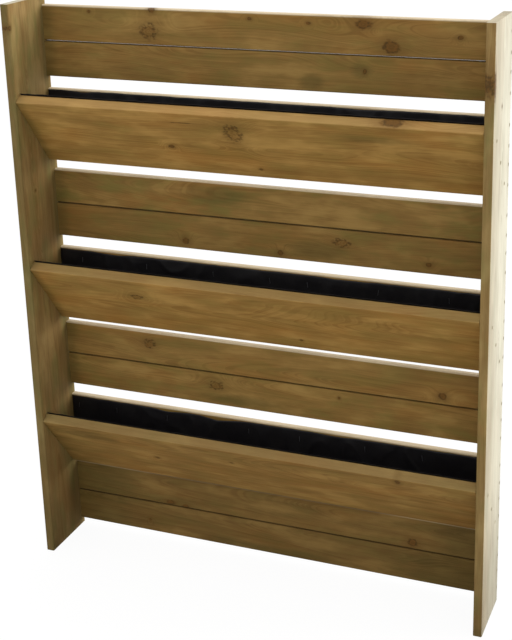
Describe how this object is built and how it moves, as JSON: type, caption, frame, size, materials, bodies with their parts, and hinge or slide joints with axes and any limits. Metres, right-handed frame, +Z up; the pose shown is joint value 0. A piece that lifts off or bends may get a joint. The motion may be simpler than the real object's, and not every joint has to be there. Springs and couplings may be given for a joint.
{
  "type": "vertical planter",
  "caption": "Free-standing vertical wooden planter: tall side boards, a slatted back and sloping fronts that form lined V troughs.",
  "frame": {"origin": "on the floor, midway between the side boards and midway through their depth", "axes": "+X to the right along the slats, +Y towards the back, +Z up; the troughs face -Y"},
  "size_m": [1, 0.14, 1.23],
  "materials": {
    "treated_softwood": "planed pressure-treated softwood, unpainted, warm olive brown",
    "liner_film": "thin black polythene film, softly creased",
    "plated_screw": "yellow-passivated zinc plate, dulled"
  },
  "bodies": {
    "root": {"side_board_left": "treated_softwood", "side_board_right": "treated_softwood", "back_slat_01": "treated_softwood", "back_slat_02": "treated_softwood", "back_slat_03": "treated_softwood", "back_slat_04": "treated_softwood", "back_slat_05": "treated_softwood", "back_slat_06": "treated_softwood", "back_slat_07": "treated_softwood", "back_slat_08": "treated_softwood", "back_slat_09": "treated_softwood", "back_slat_10": "treated_softwood", "back_slat_11": "treated_softwood", "back_slat_12": "treated_softwood", "back_slat_13": "treated_softwood", "back_slat_14": "treated_softwood", "trough_front_1": "treated_softwood", "trough_front_2": "treated_softwood", "trough_front_3": "treated_softwood", "trough_liner_1": "liner_film", "trough_liner_2": "liner_film", "trough_liner_3": "liner_film", "slat_screws_left": "plated_screw", "slat_screws_right": "plated_screw", "front_screws_left": "plated_screw", "front_screws_right": "plated_screw"}
  },
  "joints": []
}
